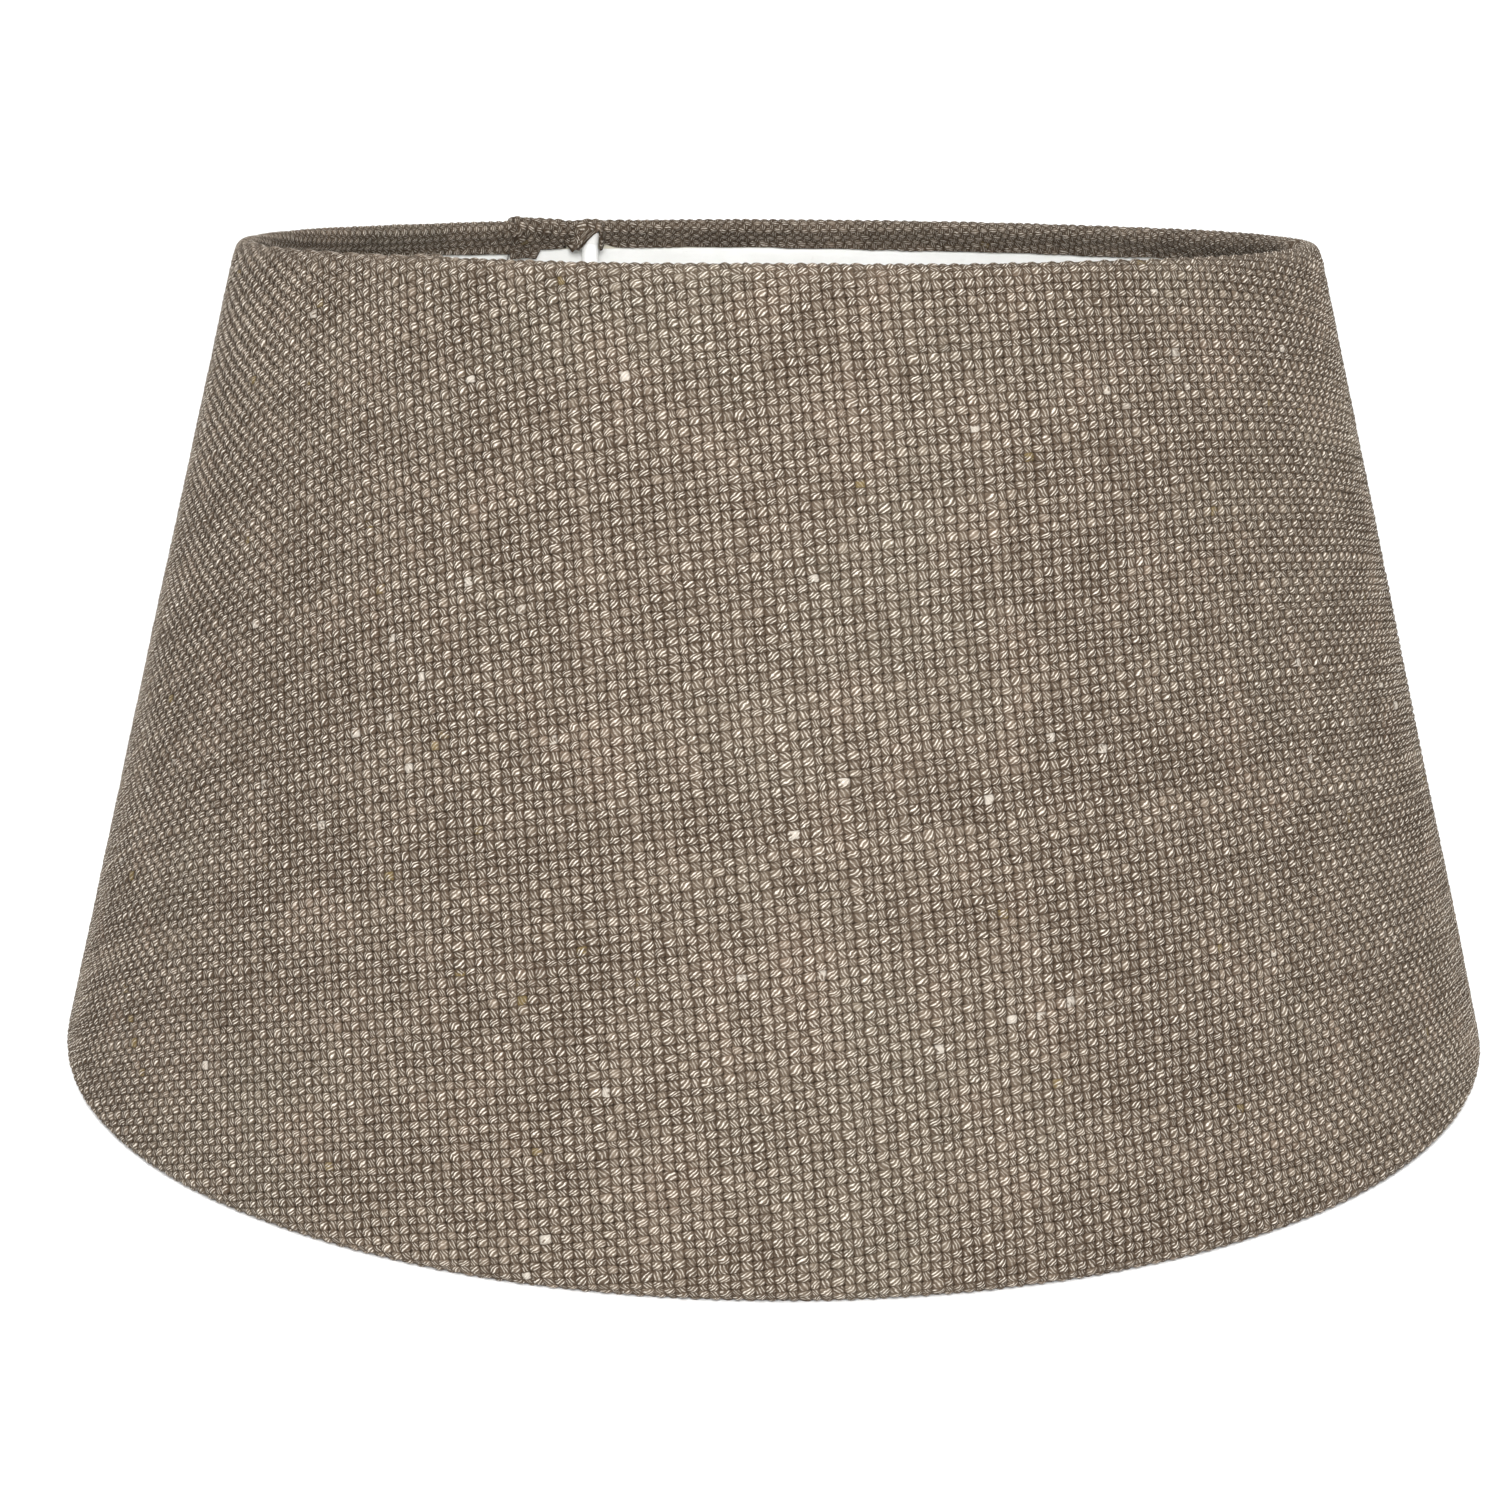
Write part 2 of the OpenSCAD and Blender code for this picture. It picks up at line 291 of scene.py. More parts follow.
    # the plain side
    back_first = base + sum(len(e) for e in extra_pts)
    br, bc = rows // STEP_R, FINE // STEP_C
    rr, cc = np.arange(br + 1) * STEP_R, np.arange(bc) * STEP_C
    sub = np.ix_(rr, cc)
    low_off = np.where(off[sub] > 0.3, off[sub] - 1.0, -CLOTH)
    back = place(s[sub], phi_moved[sub], low_off).reshape(-1, 3)
    back_extra, back_twin = [], {}
    bslit = slit_row // STEP_R
    for col in twin:
        b = col // STEP_C
        back_twin[b] = back_first + len(back) + sum(len(e) for e in back_extra) - bslit - 1
        up = np.arange(bslit + 1, br + 1) * STEP_R
        back_extra.append(place(s[up, col], phi[up, col] + np.degrees(LIP_L / RIM_R) * open_[up, 0],
                                low_off[bslit + 1:, b]))
    r2, c2 = np.meshgrid(np.arange(br), np.arange(bc), indexing="ij")
    r2, c2 = r2.ravel(), c2.ravel()
    c2n = (c2 + 1) % bc
    bface = back_first + np.stack([r2 * bc + c2, (r2 + 1) * bc + c2, (r2 + 1) * bc + c2n, r2 * bc + c2n], 1)
    for b, first in back_twin.items():
        for corner, rq in ((0, r2), (1, r2 + 1)):
            sel = (c2 == b) & (rq > bslit)
            bface[sel, corner] = first + rq[sel]

    def left(r0, c0):
        return r0 * FINE + c0 % FINE

    def right(r0, c0):
        c0 %= FINE
        return twin[c0] + r0 if c0 in twin and r0 > slit_row else r0 * FINE + c0

    def bleft(r0, c0):
        return back_first + r0 * bc + c0 % bc

    def bright(r0, c0):
        c0 %= bc
        return back_twin[c0] + r0 if c0 in back_twin and r0 > bslit else back_first + r0 * bc + c0

    strips = []
    for k in range(bc):
        c0 = k * STEP_C
        chain = [right(rows, c0)] + [left(rows, c0 + q) for q in range(1, STEP_C + 1)]
        strips.append(stitch(chain, [bright(br, k), bleft(br, k + 1)], False))
        chain = [left(0, c0 + q) for q in range(STEP_C + 1)]
        strips.append(stitch(chain, [bleft(0, k), bleft(0, k + 1)], True))
    for col in twin:
        for front_side, back_side, flip in ((left, bleft, True), (right, bright, False)):
            strips.append(stitch([front_side(q, col) for q in range(slit_row, rows + 1)],
                                 [back_side(q, col // STEP_C) for q in range(bslit, br + 1)], flip))
    strips = np.concatenate(strips)

    points = np.concatenate([pts, *extra_pts, back, *back_extra])
    # the sides that hardly show take the weave of the place they lie under
    angle = np.degrees(np.arctan2(points[:, 0], -points[:, 1]))
    angle = (angle - FIRST) % 360 + FIRST
    edge_u, edge_v = yarn_count(WALL * points[:, 2] / HEAD_Z, angle)
    rest_uv = np.stack([edge_u, edge_v], 1)
    side = np.stack([(angle - FIRST) / 360, points[:, 2] / 170], 1) * [0.99, 0.035] + [0.004, 0.957]
    obj = make_mesh("cover_cloth", points, [face, bface, strips],
                    [weave, rest_uv[bface], rest_uv[strips]], [flat, side[bface], side[strips]])
    mark_turned(obj, np.concatenate([turned[:, :-1].ravel(), np.ones(back_first - base),
                                     turned[sub].ravel(), np.ones(sum(len(e) for e in back_extra))]))
    return obj


def build_lap():
    """The cloth's folded free end, glued over its other end: level with the cover where it starts, and
    standing up at its free edge."""
    cols, fold = 72, 9
    r_mid = 128.0
    arc = np.linspace(0, 1, cols)
    phi_c = LAP_START + (SEAM - LAP_START) * arc
    s0 = 1.6
    rows = int((S_HIGH + 1.6 - s0) / ROW_STEP)
    t = np.linspace(0, 1, rows + 1)[:, None]
    d = np.radians(SEAM - phi_c) * r_mid
    longer = 1.9 * (1 - ramp(d, 8.0, 9.2)) - 0.35 * ramp(d, 8, 9.2)
    longer = longer + 0.3 * noise(d / 2.5, d * 0, 6)
    s = s0 + (S_HIGH - s0) * t + ramp(t, 0.955, 1) * longer
    phi = np.broadcast_to(phi_c, s.shape)
    u, v = yarn_count(s, phi)
    rise = 0.05 + 1.05 * arc ** 0.9 - 0.42 * (1 - ramp(arc, 0, 0.12))
    rise = rise + 0.10 * np.exp(-((d - 1.2) / 1.0) ** 2)
    # along the wall it rides up over the adhesive strip
    strip_here = ramp(s, 0.4, 2.6) * (1 - ramp(s, WALL - 2.6, WALL - 0.2))
    rise = rise + strip_here * np.maximum(0.76 * ramp(arc, 0, 0.145) - rise, 0)
    off = calm(relief(u, v), turned_part(s)) + rise
    # round the free edge and tuck it under
    turn = np.linspace(0, math.pi, fold + 1)[1:]
    out = 0.5 * np.sin(turn)
    down = 0.5 * (1 - np.cos(turn))
    top = off[:, -1:]
    edge_phi = phi[:, -1:] + np.degrees(out / r_mid)
    wob = np.degrees(0.12 * noise(s[:, -1:] / 9, s[:, -1:] * 0, 10) / r_mid)
    edge_u, edge_v = yarn_count(s[:, -1:], edge_phi)
    edge_off = top * (1 - down) + (-0.30) * down + 0.5 * relief(edge_u, edge_v) * np.sin(turn)
    phi = np.concatenate([phi, edge_phi], 1) + wob * ramp(np.r_[arc, np.ones(fold)], 0.9, 1)
    off = np.concatenate([off, edge_off], 1)
    s = np.concatenate([s, np.broadcast_to(s[:, -1:], edge_off.shape)], 1)
    u, v = yarn_count(s, phi)
    width = s.shape[1]
    front = place(s, phi, off)
    under_phi = np.linspace(phi[:, 0], phi[:, -1], 10, axis=1)[:, 1:-1]
    under_s = np.stack([np.interp(under_phi[k], phi[k], s[k]) for k in range(rows + 1)])
    under = place(under_s, under_phi, np.full(under_phi.shape, -0.42))
    # one belt of columns that runs over the front, round the fold and back under
    belt = np.concatenate([front, under[:, ::-1]], 1)
    n = belt.shape[1]
    points = belt.reshape(-1, 3)
    r, c = np.meshgrid(np.arange(rows), np.arange(n), indexing="ij")
    r, c = r.ravel(), c.ravel()
    face = np.stack([r * n + c, r * n + (c + 1) % n, (r + 1) * n + (c + 1) % n, (r + 1) * n + c], 1)
    counts = []
    for w in (u, v):
        under_w = np.stack([np.interp(under_phi[k], phi[k], w[k]) for k in range(rows + 1)])
        counts.append(np.concatenate([w, under_w[:, ::-1]], 1).ravel())
    uv = np.stack(counts, 1)
    flat = np.stack([np.broadcast_to(np.linspace(0.3, 0.7, n), (rows + 1, n)).ravel(),
                     np.broadcast_to(np.linspace(0.01, 0.99, rows + 1)[:, None], (rows + 1, n)).ravel()], 1)
    # close both ends with a middle line
    caps = []
    for row, flip in ((0, True), (rows, False)):
        ring = np.arange(n) + row * n
        k = len(under[0])
        strip = []
        lows = [ring[0]] + [ring[width + k - 1 - q] for q in range(k)] + [ring[width - 1]]
        tops = ring[:width]
        at = np.round(np.linspace(0, width - 1, len(lows))).astype(int)
        for q in range(len(lows) - 1):
            a, b = lows[q], lows[q + 1]
            mid = (at[q] + at[q + 1]) // 2
            for p in range(at[q], at[q + 1]):
                tri = (tops[p], tops[p + 1], a if p < mid else b)
                if len(set(tri)) == 3:
                    strip.append(tri)
            tri = (tops[mid], b, a)
            if len(set(tri)) == 3:
                strip.append(tri)
        strip = np.array(strip)
        caps.append(strip[:, ::-1] if flip else strip)
    caps = np.concatenate(caps)
    obj = make_mesh("seam_fold", points, [face, caps], [uv[face], uv[caps]], [flat[face], flat[caps]])
    mark_turned(obj, turned_part(np.concatenate([s, under_s[:, ::-1]], 1)).ravel())
    return obj


def build_liner():
    """The stiff sheet behind the cloth: a cone with a narrow gap under the lap."""
    cols, rows = 360, 24
    gap = math.degrees(0.25 / 110)
    phi_c = np.linspace(SEAM - 360 + gap, SEAM - gap, cols + 1)
    y = np.linspace(2.0, WALL - 2.0, rows + 1)
    phi, yy = np.meshgrid(phi_c, y)
    c, s = math.cos(SLOPE), math.sin(SLOPE)
    wave = 0.06 * noise(phi / 9 + 60, yy / 40 + 7, 11)
    layers = []
    for x in (1.38, 1.00):
        r = BASE_R + (x + wave * (x < 1.2)) * c - yy * s
        z = BASE_Z + (x + wave * (x < 1.2)) * s + yy * c
        a = np.radians(phi)
        layers.append(np.stack([r * np.sin(a), -r * np.cos(a), z], -1))
    outer, inner = layers
    w = cols + 1
    count = w * (rows + 1)
    points = np.concatenate([outer.reshape(-1, 3), inner.reshape(-1, 3)])
    face = [quads(rows, cols, w), quads(rows, cols, w, True) + count]
    low, high = np.arange(cols), rows * w + np.arange(cols)
    side = np.arange(rows) * w
    face.append(np.stack([low, low + count, low + count + 1, low + 1], 1))
    face.append(np.stack([high, high + 1, high + count + 1, high + count], 1))
    face.append(np.stack([side, side + w, side + w + count, side + count], 1))
    face.append(np.stack([side + cols, side + cols + count, side + cols + w + count, side + cols + w], 1))
    t = (phi - phi_c[0]) / 360
    flat_all = np.concatenate([
        np.stack([0.004 + 0.992 * t, 0.004 + 0.45 * yy / WALL], -1).reshape(-1, 2),
        np.stack([0.004 + 0.992 * t, 0.50 + 0.45 * yy / WALL], -1).reshape(-1, 2)])
    obj = make_mesh("liner_sheet", points, face, None, [flat_all[f] for f in face])
    return obj


# ---------------------------------------------------------------- materials
class Tree:
    """A short way to write a material's node tree."""

    def __init__(self, name):
        self.mat = bpy.data.materials.new(name)
        self.mat.use_nodes = True
        self.t = self.mat.node_tree
        self.t.nodes.clear()
        self.out = self.t.nodes.new("ShaderNodeOutputMaterial")
        self.bsdf = self.t.nodes.new("ShaderNodeBsdfPrincipled")
        self.t.links.new(self.bsdf.outputs[0], self.out.inputs[0])

    def set(self, socket, value):
        if isinstance(value, bpy.types.NodeSocket):
            self.t.links.new(value, socket)
        elif value is not None:
            socket.default_value = value

    def node(self, kind, inputs=None, **props):
        n = self.t.nodes.new(kind)
        for k, v in props.items():
            setattr(n, k, v)
        for k, v in (inputs or {}).items():
            self.set(n.inputs[k], v)
        return n

    def math(self, op, a, b=None, clamp=False):
        n = self.node("ShaderNodeMath", operation=op, use_clamp=clamp)
        self.set(n.inputs[0], a)
        self.set(n.inputs[1], b)
        return n.outputs[0]

    def smooth(self, x, lo, hi, a=0.0, b=1.0):
        n = self.node("ShaderNodeMapRange", {0: x, 1: lo, 2: hi, 3: a, 4: b}, interpolation_type="SMOOTHSTEP")
        return n.outputs[0]

    def mix(self, f, a, b, mode="MIX"):
        n = self.node("ShaderNodeMix", data_type="RGBA", blend_type=mode)
        self.set(n.inputs[0], f)
        self.set(n.inputs[6], a)
        self.set(n.inputs[7], b)
        return n.outputs[2]

    def blend(self, f, a, b):
        n = self.node("ShaderNodeMix", data_type="FLOAT")
        self.set(n.inputs[0], f)
        self.set(n.inputs[2], a)
        self.set(n.inputs[3], b)
        return n.outputs[0]

    def vector(self, x, y, z=0.0):
        return self.node("ShaderNodeCombineXYZ", {0: x, 1: y, 2: z}).outputs[0]

    def noise(self, vector, scale, detail=2.0, rough=0.5):
        return self.node("ShaderNodeTexNoise", {"Vector": vector, "Scale": scale, "Detail": detail,
                                                "Roughness": rough}).outputs[0]

    def random(self, vector):
        return self.node("ShaderNodeTexWhiteNoise", {"Vector": vector}, noise_dimensions="3D").outputs[0]

    def bump(self, height, strength, distance):
        return self.node("ShaderNodeBump", {"Height": height, "Strength": strength,
                                            "Distance": distance}).outputs[0]


def rgb(r, g, b):
    """Colour from 0 to 255 as it looks on screen, as the linear value that a shader takes."""
    def lin(c):
        c /= 255
        return c / 12.92 if c <= 0.04045 else ((c + 0.055) / 1.055) ** 2.4
    return lin(r), lin(g), lin(b), 1.0


def cloth_material(name, dim=0.73):
    t = Tree(name)
    uv = t.node("ShaderNodeUVMap", uv_map="Weave").outputs[0]
    sep = t.node("ShaderNodeSeparateXYZ", {0: uv})
    u, v = sep.outputs[0], sep.outputs[1]
    i, j = t.math("FLOOR", u), t.math("FLOOR", v)
    f, g = t.math("SUBTRACT", t.math("FRACT", u), 0.5), t.math("SUBTRACT", t.math("FRACT", v), 0.5)
    # the same heights as the mesh has; odd is 1 where the row yarn is on top
    def bulge(x, size):
        square = t.math("MULTIPLY", t.math("MULTIPLY", x, x), 3.92)
        return t.math("MULTIPLY", t.math("SQRT", t.math("SUBTRACT", 1.0, square, clamp=True)), size)

    def swing(along, across, size):
        sign = t.math("SUBTRACT", 1.0, t.math("MULTIPLY", t.math("FLOORED_MODULO", across, 2.0), 2.0))
        wave = t.math("SINE", t.math("MULTIPLY", along, math.pi))
        return t.math("MULTIPLY", t.math("MULTIPLY", wave, sign), size)

    rag = t.math("MULTIPLY", t.math("SUBTRACT", t.noise(t.vector(u, v, 4.0), 2.6, 2.0), 0.5), 0.16)
    high_u = t.math("ADD", swing(v, i, CRIMP_U), bulge(f, YARN_U))
    high_v = t.math("ADD", t.math("ADD", swing(u, j, -CRIMP_V), bulge(g, YARN_V)), rag)
    high = t.math("MAXIMUM", high_u, high_v)
    odd = t.math("GREATER_THAN", high_v, high_u)
    cell = t.vector(i, j, 0.0)
    pick = t.random(cell)
    pick2 = t.random(t.vector(i, j, 7.0))
    yarn = t.blend(odd, t.random(t.vector(i, 0.0, 3.0)), t.random(t.vector(0.0, j, 5.0)))

    # ply twist: streaks that rise to the right on row yarns and fall on column yarns
    x, y = t.math("MULTIPLY", f, PITCH_U), t.math("MULTIPLY", g, -PITCH_V)
    wob = t.noise(t.vector(u, v, 0.0), 1.3, 2.0)
    row = t.math("ADD", t.math("MULTIPLY", x, -1.12), t.math("MULTIPLY", y, 1.60))
    col = t.math("ADD", t.math("MULTIPLY", x, 1.64), t.math("MULTIPLY", y, 1.04))
    phase = t.math("ADD", t.blend(odd, col, row), t.math("ADD", t.math("MULTIPLY", wob, 1.5), pick))
    wave = t.math("SINE", t.math("MULTIPLY", phase, 2 * math.pi))
    streak = t.smooth(wave, 0.0, 1.0)
    fibre = t.noise(t.vector(u, v, pick), 4.0, 3.0, 0.7)

    # each block is a small pillow: painted highlight in the middle, painted shade where it dives under its
    # neighbours
    rag_u = t.math("MULTIPLY", t.math("SUBTRACT", t.noise(t.vector(u, v, 9.0), 2.2, 3.0, 0.6), 0.5), 0.34)
    rag_v = t.math("MULTIPLY", t.math("SUBTRACT", t.noise(t.vector(u, v, 14.0), 2.2, 3.0, 0.6), 0.5), 0.34)
    owner = t.math("FLOORED_MODULO", t.math("ADD", i, j), 2.0)
    other = t.math("ABSOLUTE", t.math("SUBTRACT", odd, owner))
    af, ag = t.math("ABSOLUTE", f), t.math("ABSOLUTE", g)
    over_u, over_v = t.math("MULTIPLY", other, odd), t.math("MULTIPLY", other, t.math("SUBTRACT", 1.0, odd))
    af = t.blend(over_u, af, t.math("SUBTRACT", 1.0, af))
    ag = t.blend(over_v, ag, t.math("SUBTRACT", 1.0, ag))
    du = t.math("DIVIDE", t.math("ADD", af, t.math("MULTIPLY", rag_u, 0.5)), t.blend(odd, 0.46, 0.57))
    dv = t.math("DIVIDE", t.math("ADD", ag, t.math("MULTIPLY", rag_v, 0.5)), t.blend(odd, 0.52, 0.49))
    far = t.math("POWER", t.math("ADD", t.math("POWER", du, 3.4), t.math("POWER", dv, 3.4)), 1 / 3.4)
    # masks for the painted shade in the lines between blocks and at their corners
    gap = t.math("MULTIPLY", t.smooth(far, 0.92, 1.03), t.smooth(wob, 0.42, 0.58, 0.2, 1.0))
    corner_shade = t.smooth(t.math("MULTIPLY", du, dv), 0.66, 1.0)
    middle = t.smooth(far, 0.8, 0.1)

    # tone: whole yarns, single blocks, and broad patches
    geo = t.node("ShaderNodeTexCoord").outputs["Object"]
    plain = t.node("ShaderNodeAttribute", attribute_name="turned").outputs["Fac"]
    strong = t.smooth(plain, 0.0, 1.0, 1.0, 0.45)
    patch = t.noise(geo, 26.0, 3.0, 0.55)
    patch2 = t.noise(geo, 85.0, 2.0, 0.5)
    tone = t.math("ADD", t.math("MULTIPLY", yarn, 0.22), t.math("MULTIPLY", pick, 0.16))
    tone = t.math("ADD", tone, t.math("MULTIPLY", patch2, 0.34))
    tone = t.math("ADD", tone, t.math("MULTIPLY", patch, 0.28))
    body = t.mix(t.smooth(tone, 0.36, 0.68), rgb(80, 67, 55), rgb(130, 116, 101))
    body = t.mix(t.smooth(patch, 0.50, 0.70, 0.0, 0.35), body, rgb(112, 108, 94))
    body = t.mix(t.smooth(patch2, 0.52, 0.72, 0.0, 0.26), body, rgb(122, 98, 83))
    # painted shade: the column-over blocks, lower than the row yarns' crests, are darker
    body = t.mix(t.blend(odd, 0.60, 0.0), body, rgb(72, 59, 47))
    twist = t.smooth(pick2, 0.0, 0.35, 0.55, 1.0)
    # painted highlight along the ply streaks, strongest in the middle of each block and weaker on the column
    # yarns
    bright = t.math("MULTIPLY", t.math("MULTIPLY", streak, t.smooth(fibre, 0.36, 0.60, 0.3, 1.0)), twist)
    bright = t.math("MULTIPLY", bright, t.math("MULTIPLY", t.smooth(far, 1.0, 0.6), t.blend(odd, 0.55, 1.0)))
    # painted highlight in the middle of each block
    body = t.mix(t.math("MULTIPLY", middle, 0.18), body, rgb(184, 172, 155))
    # painted shade in the grooves between the ply streaks
    groove_shade = t.math("MULTIPLY", t.smooth(wave, 0.1, -1.0), t.math("MULTIPLY", twist, 0.60))
    body = t.mix(groove_shade, body, rgb(70, 58, 46))
    # painted highlight on the ply streaks
    body = t.mix(t.math("MULTIPLY", bright, 1.0), body, rgb(230, 221, 208))
    fleck = t.noise(t.vector(u, v, 21.0), 1.1, 2.0, 0.6)
    for chance, lo, hi, colour in ((pick2, 0.9978, 0.9984, rgb(118, 100, 58)),
                                   (pick, 0.9975, 0.998, rgb(206, 198, 186))):
        amount = t.math("MULTIPLY", t.smooth(chance, lo, hi), t.smooth(fleck, 0.42, 0.52, 0.0, 0.6))
        body = t.mix(amount, body, colour)
    # painted shade: darker on the sides of each block, in the lines between blocks and darkest at their
    # corners, where the yarns dive under each other; all weaker on the turned edges
    side = t.blend(odd, t.smooth(du, 0.6, 1.1, 0.0, 0.75), t.smooth(du, 0.55, 1.0, 0.0, 0.85))
    body = t.mix(t.math("MULTIPLY", side, strong), body, rgb(66, 53, 41))
    body = t.mix(t.math("MULTIPLY", t.math("MULTIPLY", gap, 0.72), strong), body, rgb(40, 30, 20))
    body = t.mix(t.math("MULTIPLY", t.math("MULTIPLY", corner_shade, 0.7), strong), body, rgb(14, 9, 5))
    body = t.mix(1.0, body, (dim, dim, dim, 1.0), "MULTIPLY")
    t.set(t.bsdf.inputs["Base Color"], body)

    height = t.math("ADD", t.math("MULTIPLY", streak, 0.10), t.math("MULTIPLY", fibre, 0.05))
    height = t.math("ADD", height, t.math("MULTIPLY", high, 0.06))
    t.set(t.bsdf.inputs["Normal"], t.bump(height, 1.0, MM))
    t.set(t.bsdf.inputs["Roughness"], t.smooth(fibre, 0.2, 0.8, 0.62, 0.88))
    t.bsdf.inputs["Specular IOR Level"].default_value = 0.06
    t.bsdf.inputs["Sheen Weight"].default_value = 0.03
    t.bsdf.inputs["Sheen Roughness"].default_value = 0.45
    t.bsdf.inputs["Sheen Tint"].default_value = rgb(222, 208, 190)
    return t.mat


def sheet_material(name):
    """Satin white plastic sheet with a faint mottle and scuffs."""
    t = Tree(name)
    geo = t.node("ShaderNodeTexCoord").outputs["Object"]
    mottle = t.noise(geo, 60.0, 4.0, 0.6)
    base = t.mix(t.smooth(mottle, 0.35, 0.7), rgb(233, 233, 230), rgb(239, 239, 237))
    dust = t.noise(geo, 420.0, 3.0, 0.6)
    base = t.mix(t.smooth(dust, 0.62, 0.75, 0.0, 0.18), base, rgb(206, 203, 196))
    t.set(t.bsdf.inputs["Base Color"], base)
    t.set(t.bsdf.inputs["Roughness"], t.smooth(mottle, 0.3, 0.7, 0.42, 0.58))
    t.set(t.bsdf.inputs["Normal"], t.bump(dust, 0.12, 0.0001))
    return t.mat


def coat_material(name, light, dark, fine=900.0):
    """Powder coat: orange-peel bump, small tone changes, and rubbed spots."""
    t = Tree(name)
    geo = t.node("ShaderNodeTexCoord").outputs["Object"]
    peel = t.noise(geo, fine, 3.0, 0.55)
    tone = t.noise(geo, 90.0, 3.0, 0.6)
    base = t.mix(t.smooth(tone, 0.35, 0.72), dark, light)
    rub = t.noise(geo, 260.0, 4.0, 0.7)
    base = t.mix(t.smooth(rub, 0.66, 0.76, 0.0, 0.35), base, rgb(176, 174, 168))
    t.set(t.bsdf.inputs["Base Color"], base)
    t.set(t.bsdf.inputs["Roughness"], t.smooth(tone, 0.3, 0.7, 0.30, 0.46))
    t.set(t.bsdf.inputs["Normal"], t.bump(peel, 0.25, 0.00008))
    return t.mat


def steel_material(name):
    """Drawn steel wire with faint lengthwise marks and dull spots."""
    t = Tree(name)
    geo = t.node("ShaderNodeTexCoord").outputs["Object"]
    stretched = t.node("ShaderNodeMapping", {"Vector": geo, "Scale": (60.0, 60.0, 2600.0)}).outputs[0]
    mark = t.noise(stretched, 1.0, 3.0, 0.6)
    spot = t.noise(geo, 140.0, 4.0, 0.65)
    base = t.mix(t.smooth(mark, 0.3, 0.7), rgb(158, 157, 154), rgb(206, 205, 202))
    base = t.mix(t.smooth(spot, 0.62, 0.74, 0.0, 0.6), base, rgb(120, 106, 92))
    t.set(t.bsdf.inputs["Base Color"], base)
    t.bsdf.inputs["Metallic"].default_value = 1.0
    t.set(t.bsdf.inputs["Roughness"], t.smooth(spot, 0.35, 0.7, 0.28, 0.55))
    t.set(t.bsdf.inputs["Normal"], t.bump(mark, 0.2, 0.00004))
    return t.mat


def tape_material(name):
    """Adhesive film: glossy, slightly yellow, with trapped bubbles."""
    t = Tree(name)
    geo = t.node("ShaderNodeTexCoord").outputs["Object"]
    cells = t.node("ShaderNodeTexVoronoi", {"Vector": geo, "Scale": 420.0}).outputs[0]
    cloud = t.noise(geo, 120.0, 3.0, 0.6)
    base = t.mix(t.smooth(cloud, 0.35, 0.7), rgb(206, 200, 182), rgb(230, 226, 214))
    base = t.mix(t.smooth(cells, 0.16, 0.06, 0.0, 0.5), base, rgb(246, 245, 240))
    t.set(t.bsdf.inputs["Base Color"], base)
    t.set(t.bsdf.inputs["Roughness"], t.smooth(cloud, 0.3, 0.7, 0.18, 0.34))
    t.set(t.bsdf.inputs["Normal"], t.bump(cells, 0.2, 0.00005))
    return t.mat


def moulded_material(name):
    """Moulded white plastic: faint flow marks and a fine grain."""
    t = Tree(name)
    geo = t.node("ShaderNodeTexCoord").outputs["Object"]
    flow = t.noise(geo, 150.0, 4.0, 0.6)
    grain = t.noise(geo, 1600.0, 2.0, 0.5)
    base = t.mix(t.smooth(flow, 0.3, 0.75), rgb(236, 235, 230), rgb(246, 246, 243))
    t.set(t.bsdf.inputs["Base Color"], base)
    t.set(t.bsdf.inputs["Roughness"], t.smooth(flow, 0.3, 0.7, 0.26, 0.40))
    t.set(t.bsdf.inputs["Normal"], t.bump(grain, 0.15, 0.00004))
    return t.mat


# ---------------------------------------------------------------- the object
cover = build_cover()
lap = build_lap()
liner = build_liner()

cover.data.materials.append(cloth_material("woven_cloth"))
lap.data.materials.append(cloth_material("woven_cloth_fold", 0.70))
liner.data.materials.append(sheet_material("liner_plastic"))

for piece, node, slot in ((cover, "cover_fabric", "cover_cloth"), (lap, "seam_lap", "seam_cloth"),
                          (liner, "liner_panel", "liner_sheet")):
    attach(piece, "shade")
    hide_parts(node)

white = coat_material("white_powder_coat", rgb(244, 244, 243), rgb(234, 234, 232))
bead = coat_material("coated_weld", rgb(238, 238, 236), rgb(224, 223, 220), 1500.0)
steel = steel_material("drawn_steel")
tape = tape_material("adhesive_film")
moulded = moulded_material("moulded_white")
finishes = {"spider_arm_1": white, "spider_arm_2": white, "spider_arm_3": white, "fitter_ring": white,
            "ring_welds": bead, "fitter_welds": bead, "top_ring": steel, "bottom_ring": steel,
            "seam_tape": tape, "top_hem_tape": tape, "bottom_hem_tape": tape, "reducer_ring": moulded}
for node, mat in finishes.items():
    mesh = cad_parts[node].data
    mesh.materials.clear()
    mesh.materials.append(mat)

# ---------------------------------------------------------------- floor, light and camera
def floor_material():
    t = Tree("floor_white")
    geo = t.node("ShaderNodeTexCoord").outputs["Object"]
    cloud = t.noise(geo, 3.0, 2.0, 0.5)
    t.set(t.bsdf.inputs["Base Color"], t.mix(cloud, (0.92, 0.92, 0.92, 1), (0.94, 0.94, 0.94, 1)))
    t.bsdf.inputs["Roughness"].default_value = 0.9
    t.bsdf.inputs["Specular IOR Level"].default_value = 0.1
    return t.mat


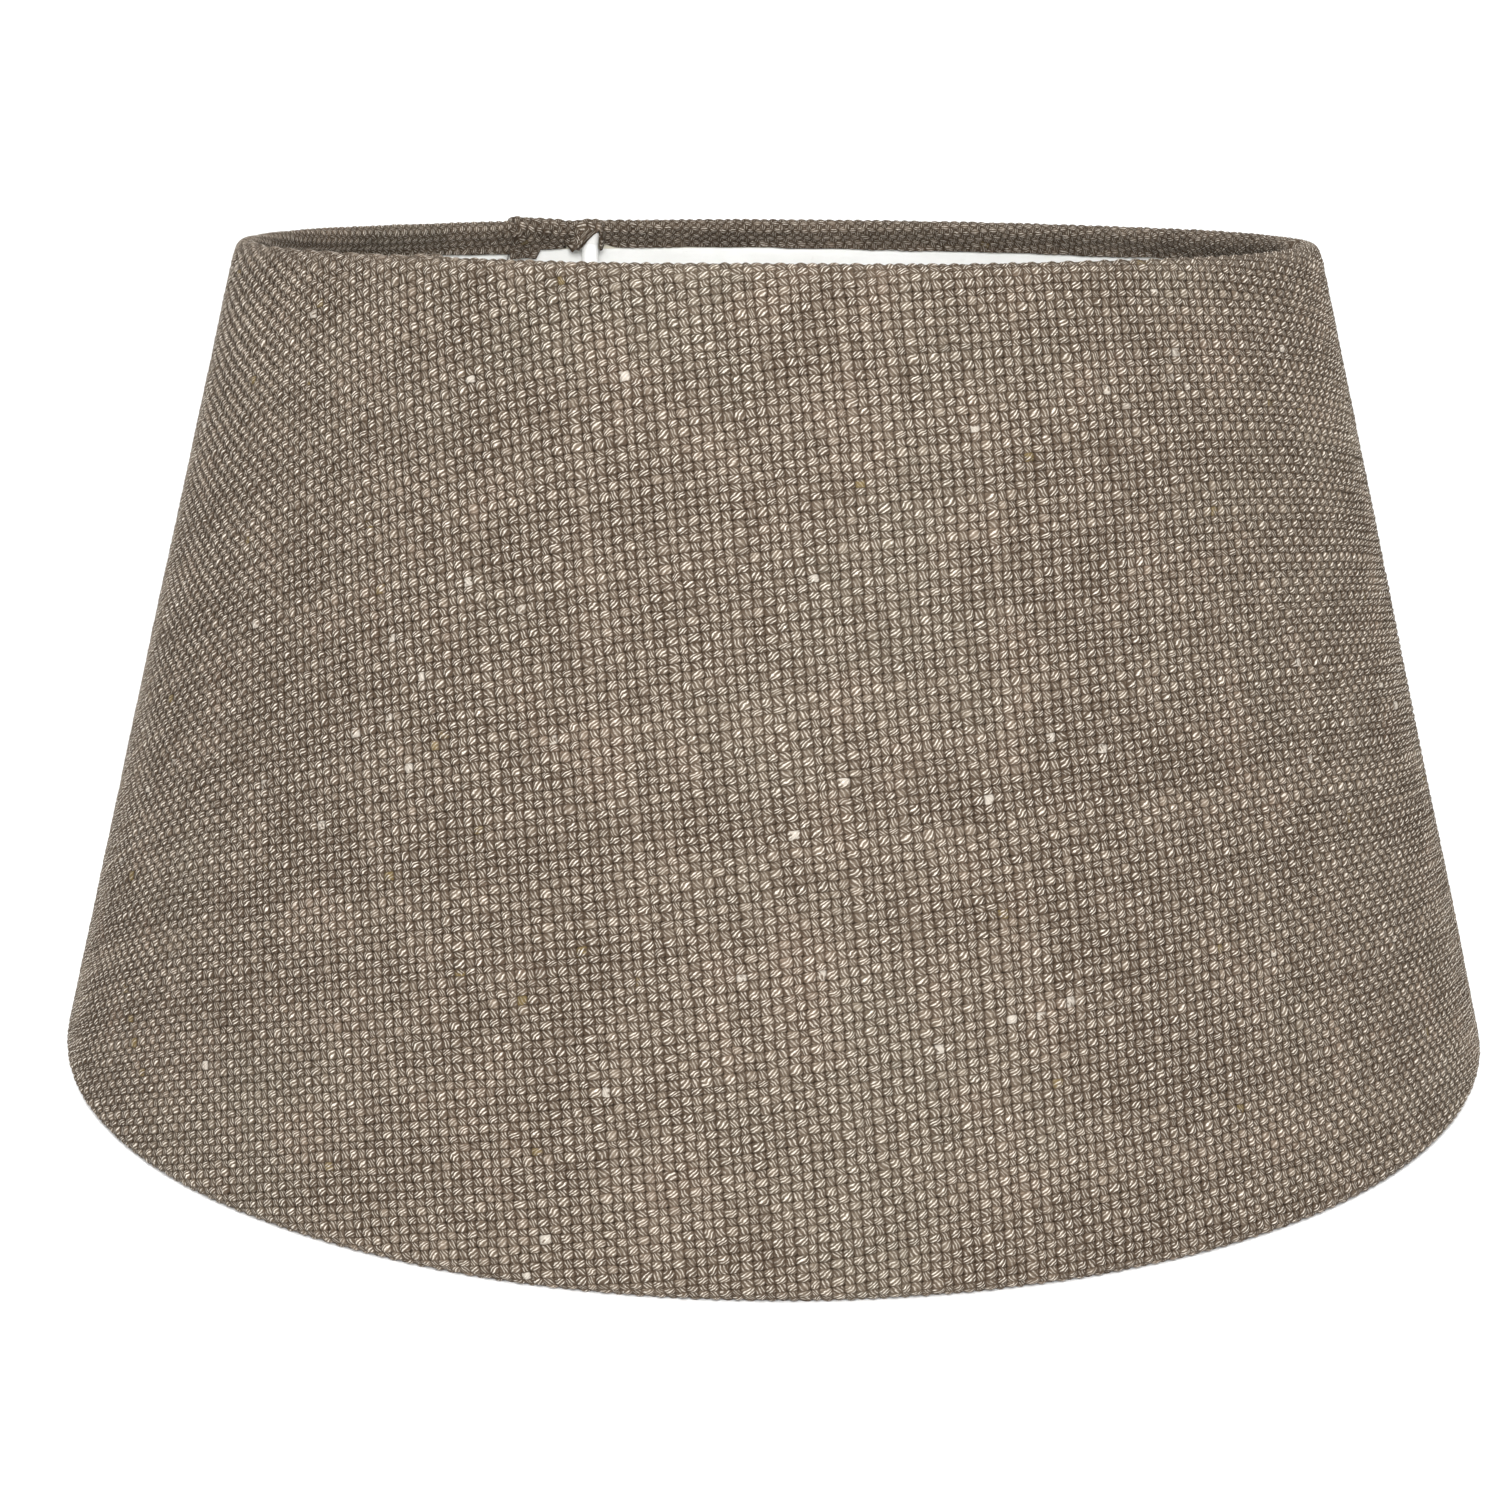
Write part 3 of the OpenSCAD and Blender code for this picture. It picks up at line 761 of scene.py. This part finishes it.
def build_floor():
    """A floor that curves up into a backdrop far behind."""
    y = [-4.0, 3.0]
    z = [0.0, 0.0]
    for k in range(1, 13):
        a = math.pi / 2 * k / 12
        y.append(3.0 + 1.5 * math.sin(a))
        z.append(1.5 - 1.5 * math.cos(a))
    y.append(4.5)
    z.append(5.0)
    pts = np.array([(x, yy, zz) for yy, zz in zip(y, z) for x in (-6.0, 6.0)]) / MM
    n = len(y) - 1
    face = np.stack([np.arange(n) * 2, np.arange(n) * 2 + 1, np.arange(n) * 2 + 3, np.arange(n) * 2 + 2], 1)
    obj = make_mesh("floor", pts, [face])
    obj.data.materials.append(floor_material())
    return obj


floor = build_floor()

scene = bpy.context.scene
scene.view_settings.view_transform = "Standard"
world = bpy.data.worlds.new("studio")
scene.world = world
world.use_nodes = True
world.node_tree.nodes["Background"].inputs[0].default_value = (1.0, 1.0, 1.0, 1.0)
world.node_tree.nodes["Background"].inputs[1].default_value = 0.06


# a high, wide soft light as five broad suns, and a softbox near the front
for turn, energy in ((-44, 0.65), (-22, 0.7), (0, 0.85), (22, 0.7), (44, 0.65)):
    sun = bpy.data.lights.new("sky", "SUN")
    sun.energy = energy
    sun.angle = math.radians(22)
    sky = bpy.data.objects.new("sky", sun)
    bpy.context.collection.objects.link(sky)
    sky.rotation_euler = (math.radians(90 - 64), 0, math.radians(turn))
box = bpy.data.lights.new("softbox", "AREA")
box.shape = "RECTANGLE"
box.size, box.size_y, box.energy = 0.30, 0.22, 5.4
key = bpy.data.objects.new("softbox", box)
bpy.context.collection.objects.link(key)
key.location = (0.0, -0.62, 0.34)
key.rotation_euler = (math.atan2(0.62, 0.25), 0, 0)

cam_data = bpy.data.cameras.new("camera")
cam_data.lens = 58.06
cam_data.sensor_width = 36.0
cam_data.clip_start, cam_data.clip_end = 0.01, 50
camera = bpy.data.objects.new("camera", cam_data)
bpy.context.collection.objects.link(camera)
camera.matrix_world = (Matrix.Translation((0, -0.5088, 0.183)) @ Matrix.Rotation(math.radians(0.432), 4, "Z")
                       @ Matrix.Rotation(math.radians(90 - 14.296), 4, "X")
                       @ Matrix.Rotation(math.radians(0.234), 4, "Z"))
scene.camera = camera

bpy.context.view_layer.update()
